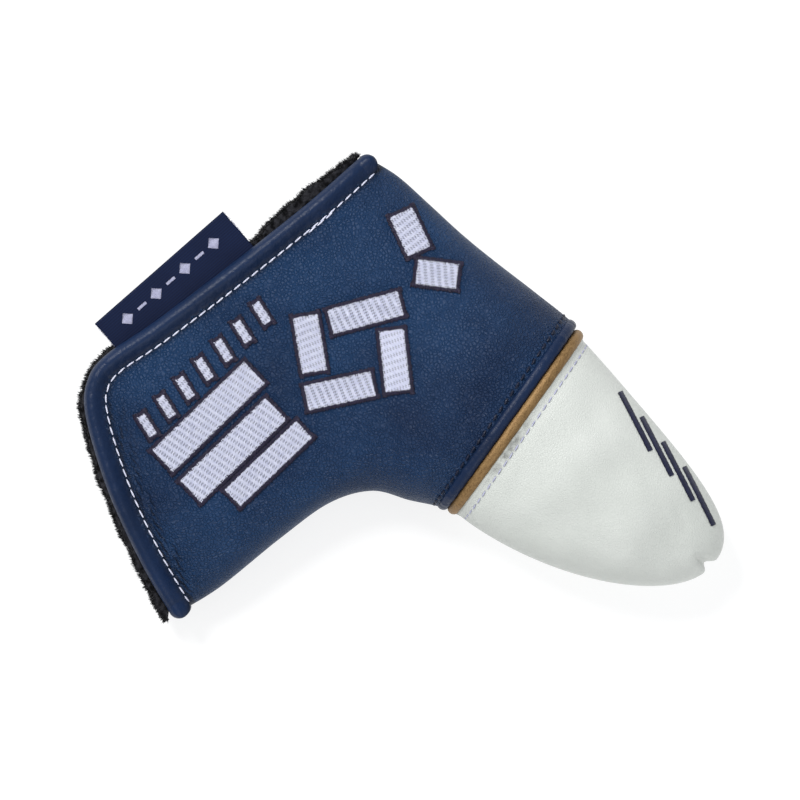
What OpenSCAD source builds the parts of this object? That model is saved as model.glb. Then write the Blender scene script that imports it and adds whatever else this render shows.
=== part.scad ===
// Padded head cover for a blade putter, lying on its rear side.
// +X runs from the toe to the heel, +Y up the neck, +Z away from the table.

/* [Pouch] */
// Height of the front side above the edge plane, where the toe is sewn on
hem_rise = 21; // [19:0.5:23]
// Height of the edge plane above the table, where the toe is sewn on
hem_edge = 18.3; // [17:0.1:20]
// Exponent of the cross-section: 2 is an ellipse, larger is boxier
fullness = 2.4; // [2.1:0.1:2.8]
// Distance from the start of the toe to its tip
toe_length = 70.6; // [64:0.2:74]

/* [Mouth] */
// Height of the front side above the edge plane, along the fold of the flap
fold_rise = 13; // [12.5:0.5:15]
// Height of the edge plane above the table, along the fold of the flap
fold_edge = 11; // [10.5:0.5:12]
// Height of the front side above the edge plane, at the rim
rim_rise = 12; // [11.5:0.5:13]
// Height of the edge plane above the table, at the rim
rim_edge = 8.5; // [8:0.1:9]
// Width of the rolled binding
binding_w = 6.2; // [5.6:0.2:7]
// How far the plush stands out past the binding
plush_reach = 3.4; // [2:0.2:4]

/* [Layers] */
// Thickness of the leather
leather = 1.2; // [1:0.1:1.3]
// Thickness of the foam
foam = 2.6; // [2:0.1:2.8]
// Thickness of the plush lining
plush = 2.9; // [2.5:0.1:3]
// Thickness of each half of the hook-and-loop closure
strip_t = 2.1; // [1.6:0.1:2.2]

/* [Trim] */
// Distance between stitches
pitch = 3.3; // [3:0.1:4]
// Diameter of the sewing thread
thread_d = 0.7; // [0.5:0.1:0.9]
// Diameter of the gold piping
piping_d = 3.8; // [3.4:0.1:4]
// Height of the embroidery above the leather
embroidery_h = 0.5; // [0.3:0.1:0.7]
// Length of the woven label along the rim
label_w = 51; // [44:0.5:52]
// Depth of the woven label, with what is sewn in under the binding
label_d = 17.5; // [16:0.5:19]
// Thickness of the folded label
label_t = 1.2; // [0.8:0.1:1.3]

/* [Hidden] */

// Ends of the cross-sections, from the fold of the flap to the start of the toe
sole_edge = [
    [57.5, -74.3], [47, -74.8], [34, -73], [21, -71], [9, -69.8], [-7, -68.7], [-21, -67.4], [-27.2, -64.6]
];
top_edge = [
    [28, 70.8], [22, 57.7], [15.2, 35.5], [8.9, 18.4], [0.3, 8.1], [-10.6, 4.1], [-19.4, 0.6], [-26, -0.5]
];
edge_heights = [fold_edge, 11.2, 12, 13.4, 15.2, 17.2, hem_edge, hem_edge - 0.5];
front_rises = [fold_rise, 13.4, 14.4, 16, 18, 20.2, hem_rise, hem_rise - 1.2];
// Outer edge of the mouth's binding, from the sole corner round the heel to the neck corner
rim = [
    [59.3, -73.2], [63.1, -54.1], [70.7, -32.7], [77, -13.7], [83.5, 4.6], [89.2, 18.8],
    [89.6, 28], [84, 37.4], [66, 52.2], [46.5, 64.2], [30, 72.6]
];

TOE = len(sole_edge) - 1;         // station at which the toe's own formula starts
HEM_STITCHES = TOE - 1.26;        // station of the stitches that close the hem
HEM_ROLL = TOE - 1.04;            // station of the rolled hem
PIPING = TOE - 0.45;              // station of the gold piping
TOE_SEAM = TOE - 0.14;            // station at which the white toe starts
TOE_STITCHES = TOE + 0.02;        // station of the stitches on the toe
TOE_END = TOE + 1;                // station of the tip
toe_width_power = [1.3, 0.45];    // how the toe narrows in plan
toe_rise_power = [2.4, 0.5];      // how its height runs out
toe_bow = 10.5;                   // how far the toe's middle line bows towards the top
tip_edge = 15;                    // height of the edge plane at the tip
flat_sink = 1;                    // how far the rear would sink into the table, and so lies flat
rim_lift = 1.4;                   // how far the rear rim is lifted by its binding
lift_run = 20;                    // distance past the fold over which it is lifted
flap_depth = 52;                  // distance from the fold to the far end of the rim
neck_flare = 0.5;                 // how fast the flap widens past the neck corner
corner_sliver = 0.5;              // least depth of the flap, at the mouth's corners

air = 0.04;                       // clearance between layers
FOAM_TOP = leather + air;
FOAM_BASE = FOAM_TOP + foam;
PLUSH_TOP = FOAM_BASE + air;
PLUSH_BASE = PLUSH_TOP + plush;
STRIP_TOP = PLUSH_BASE + air;
STRIP_BASE = STRIP_TOP + strip_t;

edge_angle = 0.5;                 // half the opening of the closing seam, round the section
columns = 14;                     // columns of one side's mesh
flap_rows = 6;                    // rows of its mesh past the fold
side_rows = 10;                   // rows of its mesh between the fold and the toe
fold_gap = 0.3;                   // cut between the body and the flap

navy = [0.2, 0.27, 0.39];
dark_navy = [0.14, 0.19, 0.3];
white = [0.84, 0.87, 0.85];
gold = [0.6, 0.48, 0.31];
black = [0.1, 0.1, 0.11];
grey = [0.4, 0.4, 0.42];
thread_white = [0.8, 0.81, 0.87];
plum = [0.17, 0.14, 0.22];
lilac = [0.72, 0.7, 0.82];

// ---- Curves ----
function mix(a, b, t) = a * (1 - t) + b * t;
function clamp(x, low, high) = min(max(x, low), high);
function unit(v) = v / norm(v);
function knot(p, i) = p[clamp(i, 0, len(p) - 1)];
// Catmull-Rom curve through a list of values or points; t counts the knots
function curve(p, t) =
    let (
        i = clamp(floor(t), 0, len(p) - 2),
        f = t - i,
        a = knot(p, i - 1),
        b = knot(p, i),
        c = knot(p, i + 1),
        d = knot(p, i + 2)
    )
    b + f * (c - a) / 2 + f * f * (a - 2.5 * b + 2 * c - d / 2) + f * f * f * (1.5 * (b - c) + (d - a) / 2);

// ---- Cross-section ----
function lobe(x) = sign(x) * pow(abs(x), 2 / fullness);
function across(angle) = (1 - lobe(cos(angle))) / 2;
function swell(v) = pow(max(0, 1 - pow(abs(2 * v - 1), fullness)), 1 / fullness);

// ---- Pouch and neck ----
function toe_share(m) = max(0, m - TOE);
function toe_taper(m, power) = pow(max(0, 1 - pow(toe_share(m), power[0])), power[1]);
// The two ends of a cross-section at depth d below the skin
function section(m, d) =
    m <= TOE
    ? let (s = curve(sole_edge, m), t = curve(top_edge, m), e = unit(t - s)) [s + e * d, t - e * d]
    : let (
        s = toe_share(m),
        a = sole_edge[TOE],
        b = top_edge[TOE],
        middle = (a + b) / 2 + [-(toe_length - d) * s, toe_bow * s * (1 - s)],
        half = [(b[0] - a[0]) / 2 * (1 - s), ((b[1] - a[1]) / 2 - d) * toe_taper(m, toe_width_power)]
    ) [middle - half, middle + half];
function edge_height(m) = m <= TOE ? curve(edge_heights, m) : mix(edge_heights[TOE], tip_edge, pow(toe_share(m), 2));
function front_rise(m) = m <= TOE ? curve(front_rises, m) : front_rises[TOE];
function skin_height(m, v, d, side) =
    let (e = edge_height(m), puff = swell(v) * toe_taper(m, toe_rise_power))
    side > 0 ? e + (front_rise(m) - d) * puff : max(e - (e + flat_sink - d) * puff, d);
// A point of the skin at depth d; a positive angle is on the front, a negative one on the rear
function skin(m, angle, d) =
    let (ends = section(m, d), v = across(angle), p = mix(ends[0], ends[1], v))
    [p[0], p[1], skin_height(m, v, d, sign(angle))];

// ---- Flap and mouth ----
fold_a = sole_edge[0];
fold_b = top_edge[0];
fold_len = norm(fold_b - fold_a);
fold_t = (fold_b - fold_a) / fold_len;
fold_n = [fold_t[1], -fold_t[0]];
// [distance past the fold, place along the fold] of a point of the plan
function from_fold(p) = [(p - fold_a) * fold_n, (p - fold_a) * fold_t];
function flap_width(k) = fold_len + neck_flare * k;
function flap_share(p, d) = let (f = from_fold(p)) (f[1] - d) / (flap_width(f[0]) - 2 * d);
function flap_plan(k, v, d) = fold_a + fold_n * k + fold_t * (d + v * (flap_width(k) - 2 * d));
function flap_height(k, v, d, side) =
    let (
        t = clamp(k / flap_depth, 0, 1),
        e = mix(fold_edge, rim_edge, t),
        lift = rim_lift * clamp(k / lift_run, 0, 1),
        puff = swell(v)
    )
    side > 0
    ? e + (mix(fold_rise, rim_rise, t) - d) * puff
    : max(e - (e + flat_sink - d) * puff, d + lift);

RIM_END = len(rim) - 1;
function rim_tangent(t) = unit(curve(rim, min(t + 0.02, RIM_END)) - curve(rim, max(t - 0.02, 0)));
function rim_out(t) = let (e = rim_tangent(t)) [e[1], -e[0]];
function rim_point(t, out) = curve(rim, t) + out * rim_out(t);
// The rim's parameter at which the flap is cut across at share v
function rim_at(v, d, out, low = 0, high = RIM_END, steps = 22) =
    steps == 0 ? (low + high) / 2
    : let (t = (low + high) / 2)
        flap_share(rim_point(t, out), d) < v
        ? rim_at(v, d, out, t, high, steps - 1)
        : rim_at(v, d, out, low, t, steps - 1);
// A point of the flap; q is 0 at the fold and 1 at the rim
function flap(q, angle, d, out, start) =
    let (
        v = across(angle),
        rim_k = from_fold(rim_point(rim_at(v, d, out), out))[0],
        k = mix(start, max(rim_k, start + corner_sliver), q),
        p = flap_plan(k, v, d)
    )
    [p[0], p[1], flap_height(k, v, d, sign(angle))];

// ---- Height of the skin over any point of the plan ----
function station(p, low = 0, high = TOE_END, steps = 22) =
    steps == 0 ? (low + high) / 2
    : let (m = (low + high) / 2, ends = section(m, 0), e = ends[1] - ends[0], r = p - ends[0])
        e[0] * r[1] - e[1] * r[0] > 0
        ? station(p, m, high, steps - 1)
        : station(p, low, m, steps - 1);
function height(p, d, side) =
    from_fold(p)[0] >= 0
    ? flap_height(from_fold(p)[0], clamp(flap_share(p, d), 0, 1), d, side)
    : let (m = station(p), ends = section(m, d), v = norm(p - ends[0]) / norm(ends[1] - ends[0]))
        skin_height(m, clamp(v, 0, 1), d, side);
function on_skin(p, d, side) = [p[0], p[1], height(p, d, side)];

// ---- Solids ----
// Closed solid between two surfaces with the same cells; the outer one is seen from outside
module shell(outer, inner, cells, border) {
    n = len(outer);
    polyhedron(
        concat(outer, inner),
        concat(
            [for (f = cells) each [[f[0], f[1], f[2]], [f[0], f[2], f[3]]]],
            [for (f = cells) each [[n + f[2], n + f[1], n + f[0]], [n + f[3], n + f[2], n + f[0]]]],
            [for (i = [0 : len(border) - 1])
                let (a = border[i], b = border[(i + 1) % len(border)])
                each [[b, a, n + a], [b, n + a, n + b]]]
        )
    );
}
// The same between two grids of points
module slab(outer, inner) {
    rows = len(outer);
    cols = len(outer[0]);
    shell(
        [for (r = outer) each r],
        [for (r = inner) each r],
        [for (i = [0 : rows - 2], j = [0 : cols - 2])
            [i * cols + j, i * cols + j + 1, (i + 1) * cols + j + 1, (i + 1) * cols + j]],
        concat(
            [for (j = [0 : cols - 1]) j],
            [for (i = [1 : rows - 1]) i * cols + cols - 1],
            [for (j = [cols - 2 : -1 : 0]) (rows - 1) * cols + j],
            [for (i = [rows - 2 : -1 : 1]) i * cols]
        )
    );
}
function angles(from, to, n) = [for (j = [0 : n]) mix(from, to, j / n)];
front_angles = angles(180 - edge_angle, edge_angle, columns);
rear_angles = angles(-edge_angle, edge_angle - 180, columns);
wrap_angles = angles(180 - edge_angle, edge_angle - 180, 2 * columns);
wrap_rear = [for (j = [columns : 2 * columns]) wrap_angles[j]];
body_rows = angles(0, HEM_ROLL, side_rows);
function skin_grid(rows, turn, d) = [for (m = rows) [for (a = turn) skin(m, a, d)]];
function flap_grid(turn, d, out, start) =
    [for (i = [flap_rows : -1 : 0]) [for (a = turn) flap(i / flap_rows, a, d, out, start)]];
toe_steps = 8;
function toe_rows(from, last) =
    [from, for (i = [1 : toe_steps]) TOE + last * (1 - pow(1 - i / toe_steps, 1.7))];

// One side of a layer that runs from station 0 to the toe, with its flap if it has one
module side_layer(turn, top, base, with_flap, out) {
    rows = concat(angles(0, TOE - 0.6, side_rows), toe_rows(TOE - 0.1, 0.985));
    flap_top = flap_grid(turn, top, out, 0);
    flap_base = flap_grid(turn, base, out, 0);
    past_fold_rows = with_flap ? [for (i = [0 : flap_rows - 1]) i] : [];
    slab(
        concat([for (i = past_fold_rows) flap_top[i]], skin_grid(rows, turn, top)),
        concat([for (i = past_fold_rows) flap_base[i]], skin_grid(rows, turn, base))
    );
}

// Outline of an oval bar, and of a strip wrapped round a cord and open on its inner side
function oval(half_w, half_h, sides = 10) =
    [for (i = [0 : sides - 1]) [half_w * cos(i * 360 / sides), half_h * sin(i * 360 / sides)]];
wrap_opening = 35;
function arc(r, from, to, sides) = [for (i = [0 : sides]) let (a = mix(from, to, i / sides)) r * [cos(a), sin(a)]];
function wrapped(outer, inner, sides = 8) = concat(
    arc(outer, wrap_opening - 90, 270 - wrap_opening, sides),
    arc(inner, 270 - wrap_opening, wrap_opening - 90, sides)
);
// Bar with a given outline, swept along a list of [centre, sideways direction, outward direction]
module sweep(frames, outline, closed) {
    sides = len(outline);
    rings = [for (f = frames) [for (p = outline) f[0] + f[1] * p[0] + f[2] * p[1]]];
    count = len(rings);
    last = closed ? count - 1 : count - 2;
    polyhedron(
        [for (r = rings) each r],
        concat(
            [for (i = [0 : last], j = [0 : sides - 1])
                let (
                    a = i * sides + j,
                    b = i * sides + (j + 1) % sides,
                    c = ((i + 1) % count) * sides + (j + 1) % sides,
                    d = ((i + 1) % count) * sides + j
                )
                each [[a, b, c], [a, c, d]]],
            closed ? [] : [
                [for (j = [sides - 1 : -1 : 0]) j],
                [for (j = [0 : sides - 1]) (count - 1) * sides + j]
            ]
        )
    );
}

// Keeps what lies on one side of the cut between the body and the flap
module fold_side(side) {
    intersection() {
        children();
        translate([fold_a[0], fold_a[1], -50])
            rotate(atan2(fold_t[1], fold_t[0]))
            translate([-100, side > 0 ? -200 - fold_gap / 2 : fold_gap / 2, 0])
            cube([400, 200, 150]);
    }
}

// ---- Leather, foam and lining ----
// The body wraps round the sole edge, and its rear side runs on past the fold to the rim
module body_panel() {
    cols = 2 * columns + 1;
    last = len(body_rows) - 1;
    count = (last + 1) * cols;
    // Vertex of the wrap, or of the rear flap, whose row flap_rows is the wrap's first row
    function at(i, j) = i * cols + j;
    function on_flap(i, j) = i == flap_rows ? at(0, j) : count + i * (columns + 1) + j - columns;
    function points(d) =
        let (rear_flap = flap_grid(wrap_rear, d, -binding_w / 2, 0))
        concat(
            [for (r = skin_grid(body_rows, wrap_angles, d)) each r],
            [for (i = [0 : flap_rows - 1]) each rear_flap[i]]
        );
    color(navy) shell(
        points(0),
        points(leather),
        concat(
            [for (i = [0 : last - 1], j = [0 : cols - 2]) [at(i, j), at(i, j + 1), at(i + 1, j + 1), at(i + 1, j)]],
            [for (i = [0 : flap_rows - 1], j = [columns : cols - 2])
                [on_flap(i, j), on_flap(i, j + 1), on_flap(i + 1, j + 1), on_flap(i + 1, j)]]
        ),
        concat(
            [for (j = [0 : columns]) at(0, j)],
            [for (i = [flap_rows - 1 : -1 : 0]) on_flap(i, columns)],
            [for (j = [columns + 1 : cols - 1]) on_flap(0, j)],
            [for (i = [1 : flap_rows]) on_flap(i, cols - 1)],
            [for (i = [1 : last]) at(i, cols - 1)],
            [for (j = [cols - 2 : -1 : 0]) at(last, j)],
            [for (i = [last - 1 : -1 : 1]) at(i, 0)]
        )
    );
}

module toe_panel() {
    rows = toe_rows(TOE_SEAM, 0.9995);
    color(white) slab(skin_grid(rows, wrap_angles, 0), skin_grid(rows, wrap_angles, leather));
}

module front_foam() {
    color(grey) side_layer(front_angles, FOAM_TOP, FOAM_BASE, false, 0);
}

module rear_foam() {
    color(grey) side_layer(rear_angles, FOAM_TOP, FOAM_BASE, true, -binding_w * 0.8);
}

module front_lining() {
    color(black) side_layer(front_angles, PLUSH_TOP, PLUSH_BASE, false, 0);
}

module rear_lining() {
    color(black) side_layer(rear_angles, PLUSH_TOP, PLUSH_BASE, true, plush_reach);
}

module flap_layer(top, base, out) {
    slab(flap_grid(front_angles, top, out, fold_gap), flap_grid(front_angles, base, out, fold_gap));
}

module flap_panel() {
    color(navy) flap_layer(0, leather, -binding_w / 2);
}

module flap_foam() {
    color(grey) flap_layer(FOAM_TOP, FOAM_BASE, -binding_w * 0.8);
}

module flap_lining() {
    color(black) flap_layer(PLUSH_TOP, PLUSH_BASE, plush_reach);
}

// ---- Rings round the pouch ----
piping_skin = 0.7;
piping_sink = 1.3;
hem_roll_r = 1.5;
ring_steps = 36;
function ring_angle(i) = mix(-180, 180, i / ring_steps);
function ring_frame(m, a, d, lowest) =
    let (
        p = let (q = skin(m, a, d)) [q[0], q[1], max(q[2], lowest)],
        along = unit(skin(m, a + 1, d) - skin(m, a - 1, d)),
        axis = unit(concat(section(m + 0.05, d)[0] - section(m - 0.05, d)[0], 0)),
        out = unit(cross(along, axis))
    )
    [p, cross(out, along), out];
// A bar's path round the pouch, at depth d, and no lower than its own radius
function ring(m, d, r) = [for (i = [0 : ring_steps - 1]) ring_frame(m, ring_angle(i) + 1.5, d, r)];

module hem_roll() {
    color(dark_navy) sweep(ring(HEM_ROLL, 1, hem_roll_r), oval(hem_roll_r, hem_roll_r), true);
}

module gold_piping() {
    color(gold) sweep(ring(PIPING, piping_sink, piping_d / 2), wrapped(piping_d / 2, piping_d / 2 - piping_skin), true);
}

module piping_cord() {
    cord_r = piping_d / 2 - piping_skin - air;
    color(thread_white) sweep(ring(PIPING, piping_sink, piping_d / 2), oval(cord_r, cord_r, 8), true);
}

// ---- Binding and label ----
binding_h = 3.2;
binding_steps = 50;
binding_start = 0.12;             // the rim's parameter at the binding's first end
function rim_frame(t, side) =
    let (p = rim_point(t, -binding_w / 2), out = rim_out(t))
    [on_skin(p, 0.5, side), [out[0], out[1], 0], [0, 0, 1]];
function rim_frames(side) =
    [for (t = angles(binding_start, RIM_END - binding_start, binding_steps)) rim_frame(t, side)];

module binding(side) {
    sweep(rim_frames(side), oval(binding_w / 2, binding_h / 2), false);
}

module mouth_binding() {
    color(navy) {
        binding(-1);
        fold_side(-1) binding(1);
    }
}

module flap_binding() {
    color(navy) fold_side(1) binding(1);
}

// The label's outer edge runs along local X, and local +Y runs in under the binding
label_corner = [84.3, -36.4, 18.75];
label_turn = 75.2;
label_tilt = 0.85;
// The line just outside the binding along which the label bends
bend_a = [71.5, -33];
bend_b = [88.4, 14.7];
module label_frame() {
    translate(label_corner) rotate([0, 0, label_turn]) rotate([0, label_tilt, 0]) children();
}

// A ribbon folded double along its outer edge
module folded_ribbon() {
    wall = label_t * 0.42;
    slot = label_t - 2 * wall;
    label_frame() rotate([90, 0, 90]) linear_extrude(label_w) difference() {
        union() {
            translate([label_t / 2, 0]) circle(d = label_t, $fn = 24);
            translate([label_t / 2, -label_t / 2]) square([label_d - label_t / 2, label_t]);
        }
        translate([label_t / 2, 0]) circle(d = slot, $fn = 24);
        translate([label_t / 2, -slot / 2]) square([label_d, slot]);
    }
}

// A block over everything on the inner side of the bend, cut back by a distance
module inside_bend(back) {
    e = bend_b - bend_a;
    translate([bend_a[0], bend_a[1], 0]) rotate(atan2(e[1], e[0])) translate([-20, back, 0]) cube([100, 40, 60]);
}

module woven_label() {
    color(dark_navy) difference() {
        folded_ribbon();
        inside_bend(-fold_gap / 2);
    }
}

module label_base() {
    color(dark_navy) intersection() {
        folded_ribbon();
        inside_bend(fold_gap / 2);
    }
}

// Row of woven lozenges and dashes
module label_pattern() {
    count = 7;
    margin = 5.5;
    line_y = 5.4;
    step = (label_w - 2 * margin) / count;
    color(thread_white) label_frame() for (i = [0 : count - 1])
        translate([margin + (i + 0.5) * step, line_y, label_t / 2 - 0.1])
        linear_extrude(0.25)
        if (i % 2 == 0) rotate(45) square(3, center = true);
        else square([3.2, 1], center = true);
}

// ---- Closure ----
closure_rows = angles(0.86, 0.62, 4);      // shares of the way from the fold to the rim
closure_turn = [101, 55];                  // angles round the section at its two ends
module closure_strip(side) {
    turn = side > 0
        ? angles(closure_turn[0], closure_turn[1], 8)
        : angles(-closure_turn[1], -closure_turn[0], 8);
    slab(
        [for (q = closure_rows) [for (a = turn) flap(q, a, STRIP_TOP, 0, 0)]],
        [for (q = closure_rows) [for (a = turn) flap(q, a, STRIP_BASE, 0, 0)]]
    );
}

module hook_strip() {
    color(black) closure_strip(-1);
}

module loop_strip() {
    color(black) closure_strip(1);
}

// ---- Embroidery ----
// A straight bar over the front: [start, end, width]. The border is a wider, lower bar under the fill.
border_w = 1.3;
embroidery_sink = 0.6;
big_bars = [
    [[57.2, 35.6], [49.2, -1.8], 9],
    [[45.2, 38.4], [37.8, 3.6], 9],
    [[33.7, 33], [27.4, 4], 7]
];
lozenge = [[43.5, -21.5], [29.5, -6.8], [13, -24], [27, -40.5]];
edge_lozenge = [[36.5, -64], [22.5, -55.5], [8.5, -62.5]];
lozenge_w = 7.5;
// A side of a lozenge covers its first corner and stops short of the next side's border
function side_bar(a, b) =
    let (e = unit(b - a)) [a - e * lozenge_w / 2, b - e * (lozenge_w / 2 + 2 * border_w + 0.8), lozenge_w];
lozenge_bars = concat(
    [for (i = [0 : 3]) side_bar(lozenge[i], lozenge[(i + 1) % 4])],
    [for (i = [0 : 1]) side_bar(edge_lozenge[i], edge_lozenge[i + 1])]
);
dash_row = [for (i = [0 : 6]) let (p = mix([67, 29.3], [57.4, -17.7], i / 6)) [p + [-3.2, 1.4], p + [3.2, -1.4], 2.6]];

module stitched_bar(bar, grow, lift) {
    e = unit(bar[1] - bar[0]);
    n = [-e[1], e[0]] * (bar[2] / 2 + grow);
    a = bar[0] - e * grow;
    b = bar[1] + e * grow;
    steps = ceil(norm(b - a) / 6);
    slab(
        [for (i = [0 : steps]) [for (j = [-1 : 1]) on_skin(mix(a, b, i / steps) + n * j, -lift, 1)]],
        [for (i = [0 : steps]) [for (j = [-1 : 1]) on_skin(mix(a, b, i / steps) + n * j, embroidery_sink, 1)]]
    );
}

all_bars = concat(big_bars, lozenge_bars, dash_row);
module fills() {
    for (bar = all_bars) stitched_bar(bar, 0, embroidery_h);
}

module borders() {
    for (bar = all_bars) stitched_bar(bar, border_w, embroidery_h / 2);
}

module body_embroidery() {
    color(thread_white) fold_side(-1) fills();
}

module body_embroidery_border() {
    color(plum) fold_side(-1) borders();
}

module flap_embroidery() {
    color(thread_white) fold_side(1) fills();
}

module flap_embroidery_border() {
    color(plum) fold_side(1) borders();
}

module toe_stripes() {
    color(plum) for (i = [0 : 3])
        let (foot = [-44.5, -58] + i * [-9.5, 2.6]) stitched_bar([foot, foot + [-17, 9.5], 1.7], 0, 0.3);
}

// ---- Stitches ----
// One stitch between two points of the skin, never below the table
module stitch(from, to) {
    a = [from[0], from[1], max(from[2], thread_d / 2)];
    b = [to[0], to[1], max(to[2], thread_d / 2)];
    e = b - a;
    translate(a)
        rotate([0, acos(e[2] / norm(e)), atan2(e[1], e[0])])
        cylinder(d = thread_d, h = norm(e), $fn = 16);
}

stitch_share = 0.68;
thread_rise = 0.1;                // how far a stitch's centre stands over the leather
seam_in = binding_w + 0.5;
rim_steps = 120;
function rim_sample(i) = curve(rim, i * RIM_END / rim_steps);
// Length along the rim at each sample, and the rim's parameter there
rim_run = [for (i = 0, s = 0; i <= rim_steps; i = i + 1, s = s + norm(rim_sample(i) - rim_sample(i - 1))) s];
rim_table = [for (i = [0 : rim_steps]) [rim_run[i], i * RIM_END / rim_steps]];
rim_margin = 2;                   // length of rim without stitches at each corner of the mouth
rim_stitches = floor((rim_run[rim_steps] - 2 * rim_margin) / pitch);
function rim_stitch_t(i) = lookup(rim_margin + i * pitch, rim_table);
function rim_stitch(i, side) = [
    for (t = [rim_stitch_t(i), rim_stitch_t(i + stitch_share)])
        on_skin(rim_point(t, -seam_in), -thread_rise, side)
];
function past_fold(s) = min(from_fold([s[0][0], s[0][1]])[0], from_fold([s[1][0], s[1][1]])[0]);

module flap_stitching() {
    color(thread_white) for (i = [0 : rim_stitches - 1])
        let (s = rim_stitch(i, 1)) if (past_fold(s) > 1) stitch(s[0], s[1]);
}

module mouth_stitching() {
    color(thread_white) for (i = [0 : rim_stitches - 1]) {
        front = rim_stitch(i, 1);
        rear = rim_stitch(i, -1);
        if (past_fold(front) < -3) stitch(front[0], front[1]);
        stitch(rear[0], rear[1]);
    }
}

ring_stitches = 24;
ring_ends = [8, 172];
module ring_stitching(m) {
    for (side = [-1, 1], i = [0 : ring_stitches - 1]) {
        a = side * mix(ring_ends[0], ring_ends[1], i / ring_stitches);
        b = side * mix(ring_ends[0], ring_ends[1], (i + stitch_share) / ring_stitches);
        stitch(skin(m, a, -thread_rise), skin(m, b, -thread_rise));
    }
}

module hem_stitching() {
    color(dark_navy) ring_stitching(HEM_STITCHES);
}

module toe_stitching() {
    color(lilac) ring_stitching(TOE_STITCHES);
}

body_panel();
toe_panel();
front_foam();
rear_foam();
front_lining();
rear_lining();
hem_roll();
gold_piping();
piping_cord();
mouth_binding();
mouth_stitching();
body_embroidery();
body_embroidery_border();
hem_stitching();
toe_stitching();
toe_stripes();
hook_strip();
flap_panel();
flap_foam();
flap_lining();
flap_binding();
flap_stitching();
flap_embroidery();
flap_embroidery_border();
loop_strip();
label_base();
woven_label();
label_pattern();
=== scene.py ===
"""Looks of the padded putter head cover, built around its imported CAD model.
Shapes are worked out in millimetres, from the CAD model's formulas, and made in metres."""

import math

import bmesh
import bpy
import numpy as np
from mathutils import Matrix, Vector
from mathutils.bvhtree import BVHTree

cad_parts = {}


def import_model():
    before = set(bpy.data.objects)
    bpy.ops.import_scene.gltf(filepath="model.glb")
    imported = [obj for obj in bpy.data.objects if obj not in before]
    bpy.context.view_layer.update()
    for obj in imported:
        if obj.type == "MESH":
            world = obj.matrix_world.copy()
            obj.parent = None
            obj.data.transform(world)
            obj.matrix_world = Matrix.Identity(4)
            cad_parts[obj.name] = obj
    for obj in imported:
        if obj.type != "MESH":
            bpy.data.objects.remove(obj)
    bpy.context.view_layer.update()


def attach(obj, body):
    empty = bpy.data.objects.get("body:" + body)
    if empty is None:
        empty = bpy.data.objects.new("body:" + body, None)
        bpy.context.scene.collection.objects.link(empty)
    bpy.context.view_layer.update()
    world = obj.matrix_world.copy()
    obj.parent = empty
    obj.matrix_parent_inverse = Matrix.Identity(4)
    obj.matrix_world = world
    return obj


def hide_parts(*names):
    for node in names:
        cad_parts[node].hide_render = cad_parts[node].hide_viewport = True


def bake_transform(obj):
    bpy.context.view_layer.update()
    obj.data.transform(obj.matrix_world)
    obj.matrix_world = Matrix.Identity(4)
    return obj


MM = 0.001
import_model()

# ---- Driving values, in mm: the CAD model's, but for one point of the rim and the seams by the toe ----
SOLE_EDGE = np.array([
    [57.5, -74.3], [47, -74.8], [34, -73], [21, -71], [9, -69.8], [-7, -68.7], [-21, -67.4], [-27.2, -64.6],
])
TOP_EDGE = np.array([
    [28, 70.8], [22, 57.7], [15.2, 35.5], [8.9, 18.4], [0.3, 8.1], [-10.6, 4.1], [-19.4, 0.6], [-26, -0.5],
])
EDGE_HEIGHTS = np.array([11, 11.2, 12, 13.4, 15.2, 17.2, 18.3, 17.8])
FRONT_RISES = np.array([13, 13.4, 14.4, 16, 18, 20.2, 21, 19.8])
RIM = np.array([
    [59.3, -73.2], [64.0, -54.4], [70.7, -32.7], [77, -13.7], [83.5, 4.6], [89.2, 18.8],
    [89.6, 28], [84, 37.4], [66, 52.2], [46.5, 64.2], [30, 72.6],
])
FULLNESS = 2.4
TOE_LENGTH, TOE_BOW, TIP_EDGE = 70.6, 10.5, 15
TOE_WIDTH_POWER, TOE_RISE_POWER = (1.3, 0.45), (2.4, 0.5)
FOLD_EDGE, FOLD_RISE, RIM_EDGE, RIM_RISE = 11, 13, 8.5, 12
FLAT_SINK, RIM_LIFT, LIFT_RUN, FLAP_DEPTH, NECK_FLARE = 1, 1.4, 20, 52, 0.5
BINDING_W = 6.2
LEATHER, FOAM_BASE, PLUSH_TOP, PLUSH_BASE = 1.2, 3.84, 3.88, 6.78
STRIP_TOP, STRIP_BASE = 6.82, 8.92
LABEL_TURN = math.radians(75.2)

TOE = len(SOLE_EDGE) - 1
RIM_END = len(RIM) - 1
# Stations along the pouch; here the hem's roll, the piping and the toe's seam follow the photo more closely
HEM_STITCHES, HEM_ROLL, PIPING = TOE - 1.26, TOE - 1.0, TOE - 0.55
TOE_SEAM, TOE_STITCHES = TOE - 0.3, TOE + 0.02

FOLD_A, FOLD_B = SOLE_EDGE[0], TOP_EDGE[0]
FOLD_LEN = np.linalg.norm(FOLD_B - FOLD_A)
FOLD_T = (FOLD_B - FOLD_A) / FOLD_LEN
FOLD_N = np.array([FOLD_T[1], -FOLD_T[0]])


# ---- Curves and the skin ----
def unit(v):
    return v / np.maximum(np.linalg.norm(v, axis=-1, keepdims=True), 1e-9)


def square(e):
    """Directions of the plan, turned by a quarter turn."""
    return np.stack([-e[..., 1], e[..., 0]], -1)


def heading(degrees):
    return np.array([math.cos(math.radians(degrees)), math.sin(math.radians(degrees))])


def run_along(path):
    """Length along a path up to each of its points."""
    return np.concatenate([[0], np.cumsum(np.linalg.norm(np.diff(path, axis=0), axis=1))])


def mix(a, b, t):
    return a * (1 - t) + b * t


def fade(x, low, high):
    """Smooth step from 0 at low to 1 at high."""
    t = np.clip((x - low) / (high - low), 0, 1)
    return t * t * (3 - 2 * t)


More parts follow.
